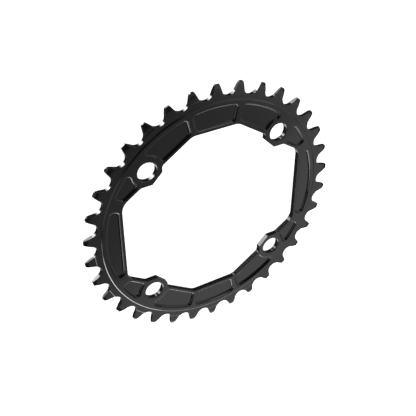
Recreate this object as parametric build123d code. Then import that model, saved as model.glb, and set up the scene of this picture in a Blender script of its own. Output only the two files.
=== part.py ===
from build123d import *
import math
import os

os.makedirs("parts", exist_ok=True)

# Bicycle chainring, one plate of aluminium, millimetres.
# Origin in the middle of the bolt circle, on the back face that seats on the crank spider.
# Z points out of the front face, X through the middle of a three-pocket side.

# Chain and teeth
tooth_count = 34
chain_pitch = 12.7
roller_diameter = 7.75
roller_clearance = 0.05
flank_angle = 24.0
tooth_rise = 3.0
tip_corner = 0.5
tooth_phase = -0.84

# Thickness of the two kinds of teeth, at the root and at the tip
wide_tooth = 2.2
wide_tip = 0.9
wide_tip_cut = 0.4
narrow_tooth = 1.7
narrow_tip = 0.8
narrow_tip_length = 1.6
narrow_root_height = 1.35
narrow_root_slope = 0.2

# Plate and the lower band that carries the teeth
plate_thickness = 2.8
band_drop = 0.4
band_width = 2.42
shoulder_run = 0.44
shoulder_drop = 0.37
foot_run = 0.6

# Bolt tabs
bolt_count = 4
bolt_circle = 104.0
bolt_hole = 10.0
bolt_hole_chamfer = 0.35
boss_wall = 2.75
boss_bridge = 11.8
tab_length = 1.67
tab_corner = 0.6
tab_root_radius = 2.0

# Straight edges of the centre opening, each set in from the bolt circle
short_side_inset = 3.33
short_slant_inset = 4.43
long_side_inset = 1.18
long_slant_inset = 5.43
slant_angle = 33.5
short_side_radius = 6.0
long_side_radius = 7.0

# Pockets in the front face
pocket_depth = 1.1
pocket_corner = 2.1
rim_width = 1.95
lip_width = 1.2
middle_pocket_angle = 24.4
short_rib_angle = 2.35
long_pocket_angle = 40.5
long_rib_angle = 5.8

# Sizes that follow from the ones above
tooth_angle = 360 / tooth_count
pitch_radius = chain_pitch / (2 * math.sin(math.pi / tooth_count))
seat_radius = (roller_diameter + roller_clearance) / 2
root_radius = pitch_radius - seat_radius
tip_radius = pitch_radius + tooth_rise
shoulder_radius = root_radius - band_width
shoulder_foot = shoulder_radius + shoulder_run + foot_run
band_front = plate_thickness - band_drop
band_back = band_front - wide_tooth
band_middle = (band_front + band_back) / 2
lowest = min(0, band_back)
wide_bevel = (wide_tooth - wide_tip) / 2
bolt_radius = bolt_circle / 2
boss_radius = bolt_hole / 2 + boss_wall
tab_side = bolt_radius * math.sin(math.pi / 4) - boss_radius
short_side = bolt_radius - short_side_inset
short_slant = bolt_radius - short_slant_inset
long_side = bolt_radius - long_side_inset
long_slant = bolt_radius - long_slant_inset
tab_end = min(short_slant, long_slant) - tab_length
pocket_outer = shoulder_radius - rim_width
narrow_web = pocket_outer - long_side - lip_width
pocket_round = min(pocket_corner, narrow_web / 3)
over = 1.0


def crossing(first_angle, first_distance, second_angle, second_distance):
    # Point where two straight edges meet, each given by the angle of its normal and its distance from the centre
    a = math.radians(first_angle)
    b = math.radians(second_angle)
    turn = math.sin(b - a)
    x = (first_distance * math.sin(b) - second_distance * math.sin(a)) / turn
    y = (second_distance * math.cos(a) - first_distance * math.cos(b)) / turn
    return (x, y)


def four_quarters(points):
    # Outline of the first quarter, from the X axis to the Y axis, carried round the other three
    half = points + [(-x, y) for x, y in reversed(points)]
    return half + [(-x, -y) for x, y in half]


def same_corners(sketch, point):
    # The four corners that mirror one corner of the first quarter
    return sketch.vertices().filter_by(lambda v: abs(abs(v.X) - point[0]) + abs(abs(v.Y) - point[1]) < 0.001)


# Turned blank: plate, shoulder that drops steeply and runs out flatter, tooth band and bevelled rim
bore = bolt_radius - 2 * boss_radius
with BuildPart() as ring:
    with BuildSketch(Plane.XZ):
        with BuildLine():
            Polyline(
                (bore, plate_thickness),
                (shoulder_radius, plate_thickness),
                (shoulder_radius + shoulder_run, plate_thickness - shoulder_drop),
                (shoulder_foot, band_front),
                (pitch_radius, band_front),
                (tip_radius, band_front - wide_bevel),
                (tip_radius, band_back + wide_bevel),
                (pitch_radius, band_back),
                (shoulder_foot, band_back),
                (shoulder_radius, 0),
                (bore, 0),
                close=True,
            )
        make_face()
    revolve(axis=Axis.Z)

# Chain gaps: round roller seats with straight flanks that open outward
slope = math.radians(flank_angle)
seat_end = (-seat_radius * math.sin(slope), seat_radius * math.cos(slope))
mouth = tooth_rise + over
mouth_half = seat_end[1] + (mouth - seat_end[0]) * math.tan(slope)
with BuildSketch() as gap:
    with BuildLine():
        upper = Line((mouth, mouth_half), seat_end)
        seat = ThreePointArc(upper @ 1, (-seat_radius, 0), (seat_end[0], -seat_end[1]))
        lower = Line(seat @ 1, (mouth, -mouth_half))
        Line(lower @ 1, upper @ 0)
    make_face()

first_gap = tooth_phase + tooth_angle / 2
with BuildSketch(Plane.XY.offset(lowest)) as outline:
    with Locations(Location((0, 0, 0), (0, 0, first_gap))):
        Circle(tip_radius)
    with PolarLocations(pitch_radius, tooth_count, start_angle=first_gap):
        add(gap.sketch, mode=Mode.SUBTRACT)
    tips = outline.vertices().filter_by(lambda v: math.hypot(v.X, v.Y) > tip_radius - tooth_rise / 2)
    chamfer(tips, tip_corner)

# Every second tooth is relieved on both faces to fit inside the chain's inner plates
relief_points = [
    (root_radius + narrow_root_height, wide_tooth / 2 + over),
    (root_radius + narrow_root_height, wide_tooth / 2),
    (root_radius + narrow_root_height + narrow_root_slope, narrow_tooth / 2),
    (tip_radius - narrow_tip_length, narrow_tooth / 2),
    (tip_radius, narrow_tip / 2),
    (tip_radius + over, narrow_tip / 2),
    (tip_radius + over, wide_tooth / 2 + over),
]
with BuildPart() as relief:
    with BuildSketch(Plane.XZ):
        with Locations((0, band_middle)):
            Polygon(*relief_points, align=None)
    revolve(axis=Axis.Z, revolution_arc=tooth_angle)
    mirror(about=Plane.XY.offset(band_middle))

# The wide teeth between them are turned a little shorter
with BuildPart() as trim:
    with BuildSketch(Plane.XZ):
        with Locations((tip_radius - wide_tip_cut, band_back)):
            Rectangle(wide_tip_cut + over, wide_tooth, align=Align.MIN)
    revolve(axis=Axis.Z, revolution_arc=tooth_angle)

# Centre opening with four tabs standing into it
short_corner = crossing(0, short_side, slant_angle, short_slant)
short_root = crossing(slant_angle, short_slant, 90, tab_side)
short_end = crossing(90, tab_side, 45, tab_end)
long_end = crossing(45, tab_end, 0, tab_side)
long_root = crossing(0, tab_side, slant_angle, long_slant)
long_corner = crossing(slant_angle, long_slant, 90, long_side)
with BuildSketch() as opening:
    Polygon(*four_quarters([short_corner, short_root, short_end, long_end, long_root, long_corner]), align=None)
    fillet(same_corners(opening, short_corner), short_side_radius)
    fillet(same_corners(opening, long_corner), long_side_radius)
    fillet(same_corners(opening, short_root) + same_corners(opening, long_root), tab_root_radius)
    fillet(same_corners(opening, short_end) + same_corners(opening, long_end), tab_corner)

# Lip left standing between the opening and the pockets
short_lip_corner = crossing(0, short_side + lip_width, slant_angle, short_slant + lip_width)
short_lip_end = crossing(slant_angle, short_slant + lip_width, 135, 0)
long_lip_end = crossing(slant_angle, long_slant + lip_width, 135, 0)
long_lip_corner = crossing(slant_angle, long_slant + lip_width, 90, long_side + lip_width)
with BuildSketch() as lip:
    Polygon(*four_quarters([short_lip_corner, short_lip_end, long_lip_end, long_lip_corner]), align=None)
    fillet(same_corners(lip, short_lip_corner), short_side_radius + lip_width)

# Twelve pockets: what is left of the web between lip, rim, bolt bosses and ribs
short_rib = (middle_pocket_angle + short_rib_angle) / 2
long_rib = 90 - (long_pocket_angle + long_rib_angle) / 2
with BuildSketch(Plane.XY.offset(plate_thickness)) as web:
    with Locations(Location((0, 0, 0), (0, 0, 45))):
        Circle(pocket_outer)
    add(lip.sketch, mode=Mode.SUBTRACT)
    with PolarLocations(bolt_radius, bolt_count, start_angle=45):
        Circle(boss_radius, mode=Mode.SUBTRACT)
        Rectangle(bolt_radius, boss_bridge, align=(Align.MIN, Align.CENTER), mode=Mode.SUBTRACT)
    for middle, width in ((short_rib, short_rib_angle), (long_rib, long_rib_angle)):
        half = math.tan(math.radians(width / 2)) * shoulder_radius
        for angle in (middle, 180 - middle, 180 + middle, -middle):
            with Locations(Location((0, 0, 0), (0, 0, angle))):
                Polygon((0, 0), (shoulder_radius, -half), (shoulder_radius, half), align=None, mode=Mode.SUBTRACT)
    offset(amount=-pocket_round, kind=Kind.INTERSECTION)
    offset(amount=pocket_round, kind=Kind.ARC)

with BuildPart() as pockets:
    extrude(web.sketch, amount=-pocket_depth)

# Milling the blank
with ring:
    extrude(outline.sketch, amount=plate_thickness - lowest, mode=Mode.INTERSECT)
    with PolarLocations(0, tooth_count // 2, start_angle=first_gap):
        add(relief.part, mode=Mode.SUBTRACT)
    with PolarLocations(0, tooth_count // 2, start_angle=first_gap - tooth_angle):
        add(trim.part, mode=Mode.SUBTRACT)
    extrude(opening.sketch, amount=plate_thickness, mode=Mode.SUBTRACT)
    with Locations((0, 0, plate_thickness)):
        with PolarLocations(bolt_radius, bolt_count, start_angle=45):
            CounterSinkHole(bolt_hole / 2, bolt_hole / 2 + bolt_hole_chamfer, counter_sink_angle=90)
    add(pockets.part, mode=Mode.SUBTRACT)

ring.part.label = "chainring"
export_step(ring.part, "parts/chainring.step")
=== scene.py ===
import math

import bmesh
import bpy
from mathutils import Matrix, Vector


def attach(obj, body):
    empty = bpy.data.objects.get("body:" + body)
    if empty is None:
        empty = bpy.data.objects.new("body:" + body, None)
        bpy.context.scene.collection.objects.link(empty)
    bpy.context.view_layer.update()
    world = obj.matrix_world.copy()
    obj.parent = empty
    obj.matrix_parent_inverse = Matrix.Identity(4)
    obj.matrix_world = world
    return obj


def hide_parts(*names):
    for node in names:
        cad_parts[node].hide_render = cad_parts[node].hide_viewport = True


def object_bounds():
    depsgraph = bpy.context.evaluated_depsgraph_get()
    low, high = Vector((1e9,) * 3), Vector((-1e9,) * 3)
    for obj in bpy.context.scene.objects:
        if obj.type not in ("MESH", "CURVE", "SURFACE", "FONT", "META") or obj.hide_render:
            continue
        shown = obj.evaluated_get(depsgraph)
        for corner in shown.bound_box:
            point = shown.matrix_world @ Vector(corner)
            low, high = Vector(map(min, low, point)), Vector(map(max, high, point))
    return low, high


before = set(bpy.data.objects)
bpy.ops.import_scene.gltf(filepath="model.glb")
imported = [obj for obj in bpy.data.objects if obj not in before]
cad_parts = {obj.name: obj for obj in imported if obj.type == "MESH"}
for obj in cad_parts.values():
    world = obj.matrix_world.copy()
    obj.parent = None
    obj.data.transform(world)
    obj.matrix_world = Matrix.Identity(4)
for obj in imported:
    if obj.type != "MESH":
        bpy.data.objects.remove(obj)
cad_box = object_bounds()

# Chainring: one plate of aluminium, turned, then milled, tumbled and dyed black by anodising.
# The pockets are milled with a round-cornered cutter, which leaves a cove along the foot of each wall.
# The dyed skin is satin and nearly black, with a fine grain, and paler on the edges that tumbling rounded.
plate_front = cad_box[1][2]
pocket_depth = 0.0011
pocket_floor = plate_front - pocket_depth
pocket_reach = 0.0615
cove = 0.00106
cove_steps = 8
same_point = 1e-6
same_level = 1e-5
same_plane = math.radians(0.3)
upright = 0.1
sharp_corner = math.radians(22)
solid = bmesh.new()
solid.from_mesh(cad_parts["chainring"].data)
bmesh.ops.remove_doubles(solid, verts=solid.verts, dist=same_point)
bmesh.ops.dissolve_limit(solid, angle_limit=same_plane, verts=solid.verts, edges=solid.edges)
solid.normal_update()
floor_edges = [
    edge
    for edge in solid.edges
    if all(abs(v.co.z - pocket_floor) < same_level and v.co.xy.length < pocket_reach for v in edge.verts)
    and min(abs(face.normal.z) for face in edge.link_faces) < upright
]
bmesh.ops.bevel(
    solid,
    geom=floor_edges,
    offset=cove,
    offset_type="OFFSET",
    segments=cove_steps,
    profile=0.5,
    affect="EDGES",
    clamp_overlap=False,
)
solid.normal_update()
for face in solid.faces:
    face.smooth = True
for edge in solid.edges:
    edge.smooth = edge.calc_face_angle(0.0) < sharp_corner
ring_mesh = bpy.data.meshes.new("ring")
solid.to_mesh(ring_mesh)
solid.free()
ring = bpy.data.objects.new("ring", ring_mesh)
bpy.context.scene.collection.objects.link(ring)
flats = ring.modifiers.new("flats", "WEIGHTED_NORMAL")
flats.keep_sharp = True

skin = bpy.data.materials.new("black_anodised")
skin.use_nodes = True
tree = skin.node_tree
shader = tree.nodes["Principled BSDF"]
shader.inputs["Metallic"].default_value = 0.0
shader.inputs["IOR"].default_value = 1.5
where = tree.nodes.new("ShaderNodeTexCoord")

rounding = tree.nodes.new("ShaderNodeBevel")
rounding.samples = 8
rounding.inputs["Radius"].default_value = 0.00028

flat = tree.nodes.new("ShaderNodeNewGeometry")
turned = tree.nodes.new("ShaderNodeVectorMath")
turned.operation = "DOT_PRODUCT"
tree.links.new(rounding.outputs["Normal"], turned.inputs[0])
tree.links.new(flat.outputs["Normal"], turned.inputs[1])
rounded = tree.nodes.new("ShaderNodeMapRange")
rounded.inputs["From Min"].default_value = 0.99
rounded.inputs["From Max"].default_value = 0.75
tree.links.new(turned.outputs["Value"], rounded.inputs["Value"])

blotch = tree.nodes.new("ShaderNodeTexNoise")
blotch.inputs["Scale"].default_value = 60.0
blotch.inputs["Detail"].default_value = 3.0
tree.links.new(where.outputs["Object"], blotch.inputs["Vector"])

grain = tree.nodes.new("ShaderNodeTexNoise")
grain.inputs["Scale"].default_value = 9000.0
grain.inputs["Detail"].default_value = 2.0
tree.links.new(where.outputs["Object"], grain.inputs["Vector"])

tone = tree.nodes.new("ShaderNodeValToRGB")
tone.color_ramp.elements[0].position = 0.35
tone.color_ramp.elements[0].color = (0.0022, 0.0022, 0.0024, 1.0)
tone.color_ramp.elements[1].position = 0.65
tone.color_ramp.elements[1].color = (0.0036, 0.0036, 0.0038, 1.0)
tree.links.new(blotch.outputs["Fac"], tone.inputs["Fac"])

worn = tree.nodes.new("ShaderNodeMix")
worn.data_type = "RGBA"
worn.inputs["B"].default_value = (0.05, 0.05, 0.052, 1.0)
tree.links.new(rounded.outputs["Result"], worn.inputs["Factor"])
tree.links.new(tone.outputs["Color"], worn.inputs["A"])
tree.links.new(worn.outputs["Result"], shader.inputs["Base Color"])

satin = tree.nodes.new("ShaderNodeMapRange")
satin.inputs["To Min"].default_value = 0.10
satin.inputs["To Max"].default_value = 0.15
tree.links.new(grain.outputs["Fac"], satin.inputs["Value"])
tree.links.new(satin.outputs["Result"], shader.inputs["Roughness"])

bump = tree.nodes.new("ShaderNodeBump")
bump.inputs["Strength"].default_value = 0.05
bump.inputs["Distance"].default_value = 0.00002
tree.links.new(grain.outputs["Fac"], bump.inputs["Height"])
tree.links.new(rounding.outputs["Normal"], bump.inputs["Normal"])
tree.links.new(bump.outputs["Normal"], shader.inputs["Normal"])

ring_mesh.materials.append(skin)
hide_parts("chainring")
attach(ring, "root")

# Floor: the white top of a light table, far wider than the picture, which glows evenly.
# The lamps below it shine through, so the ring mirrors them and not the top itself.
table_half = 4.0
table_corners = [(x * table_half, y * table_half) for x, y in ((-1, -1), (1, -1), (1, 1), (-1, 1))]
floor_mesh = bpy.data.meshes.new("floor")
floor_mesh.from_pydata([(x, y, 0) for x, y in table_corners], [], [(0, 1, 2, 3)])
floor = bpy.data.objects.new("floor", floor_mesh)
bpy.context.scene.collection.objects.link(floor)
table_top = bpy.data.materials.new("table_top")
table_top.use_nodes = True
table_shader = table_top.node_tree.nodes["Principled BSDF"]
table_shader.inputs["Base Color"].default_value = (0.8, 0.8, 0.8, 1.0)
table_shader.inputs["Roughness"].default_value = 0.9
table_shader.inputs["Emission Color"].default_value = (1.0, 1.0, 1.0, 1.0)
table_shader.inputs["Emission Strength"].default_value = 1.0
floor_mesh.materials.append(table_top)
floor.visible_glossy = False
floor.visible_shadow = False

# Backdrop: white paper hung round the table, so the picture stays pale from low down too.
# It glows like the table top, but only the camera sees it.
paper_height = 6.0
paper_mesh = bpy.data.meshes.new("paper")
paper_mesh.from_pydata(
    [(x, y, z) for z in (0, paper_height) for x, y in table_corners],
    [],
    [(0, 1, 5, 4), (1, 2, 6, 5), (2, 3, 7, 6), (3, 0, 4, 7)],
)
paper_mesh.materials.append(table_top)
paper = bpy.data.objects.new("paper", paper_mesh)
bpy.context.scene.collection.objects.link(paper)
paper.visible_diffuse = False
paper.visible_glossy = False
paper.visible_shadow = False

# Room: the dim studio round the table, with pale walls far off.
# It gives a little even grey light from all round.
room = bpy.data.worlds.new("room")
room.use_nodes = True
room.node_tree.nodes["Background"].inputs["Color"].default_value = (1.0, 1.0, 1.0, 1.0)
room.node_tree.nodes["Background"].inputs["Strength"].default_value = 0.07
bpy.context.scene.world = room


# Soft boxes: each stands one metre off, at its own bearing and height, turned to the ring.
# Bearing, height, width and depth are degrees as the ring sees them, and glow is brightness.
def soft_box(name, bearing, height, wide, high, glow):
    lamp = bpy.data.lights.new(name, "AREA")
    lamp.shape = "RECTANGLE"
    lamp.size = 2 * math.tan(math.radians(wide / 2))
    lamp.size_y = 2 * math.tan(math.radians(high / 2))
    lamp.energy = glow * math.pi * lamp.size * lamp.size_y
    box = bpy.data.objects.new(name, lamp)
    bpy.context.scene.collection.objects.link(box)
    b = math.radians(bearing)
    h = math.radians(height)
    box.location = (math.cos(h) * math.cos(b), math.cos(h) * math.sin(b), math.sin(h))
    box.rotation_euler = (-box.location).to_track_quat("-Z", "Y").to_euler()


soft_box("side", 176, 2, 72, 50, 2.7)
soft_box("side_core", 157, 4, 56, 32, 4.9)
soft_box("side_hot", 145, 14, 22, 14, 3.5)
soft_box("side_left", 124, 1, 16, 48, 3.0)
soft_box("back_left", 213, 28, 38, 34, 0.55)
soft_box("back_high", 216, 45, 40, 22, 0.36)
soft_box("back", 272, 33, 54, 58, 0.5)
soft_box("back_top", 268, 62, 30, 16, 0.6)
soft_box("right", 325, 18, 78, 58, 0.75)
soft_box("right_low", 340, 10, 16, 24, 3.2)
soft_box("top_left", 98, 48, 36, 36, 0.95)
soft_box("top", 150, 70, 20, 14, 0.9)
soft_box("under", 32, -63, 23, 32, 22.0)
soft_box("under_right", 53, -52, 14, 24, 12.0)
soft_box("under_side", 69, -42, 10, 8, 3.4)
soft_box("under_left", 5, -52, 8, 24, 8.0)
soft_box("under_far", 180, -46, 12, 14, 2.0)
soft_box("under_back", 216, -32, 70, 36, 0.2)

# Camera: the photograph's viewpoint, about 36 cm off, with a 60 mm lens.
# It looks down on the ring at about 44 degrees and is rolled.
lens = bpy.data.cameras.new("camera")
lens.sensor_width = 36.0
lens.lens = 59.97
lens.clip_start = 0.01
camera = bpy.data.objects.new("camera", lens)
bpy.context.scene.collection.objects.link(camera)
stand = Vector((0.21140, 0.14760, 0.24866))
right = Vector((-0.0001, -0.8641, 0.50332))
up = Vector((0.8091, -0.29585, -0.50776))
back = right.cross(up).normalized()
up = back.cross(right).normalized()
right.normalize()
turn = Matrix((right, up, back)).transposed().to_4x4()
camera.matrix_world = Matrix.Translation(stand) @ turn
bpy.context.scene.camera = camera
bpy.context.scene.view_settings.view_transform = "Standard"
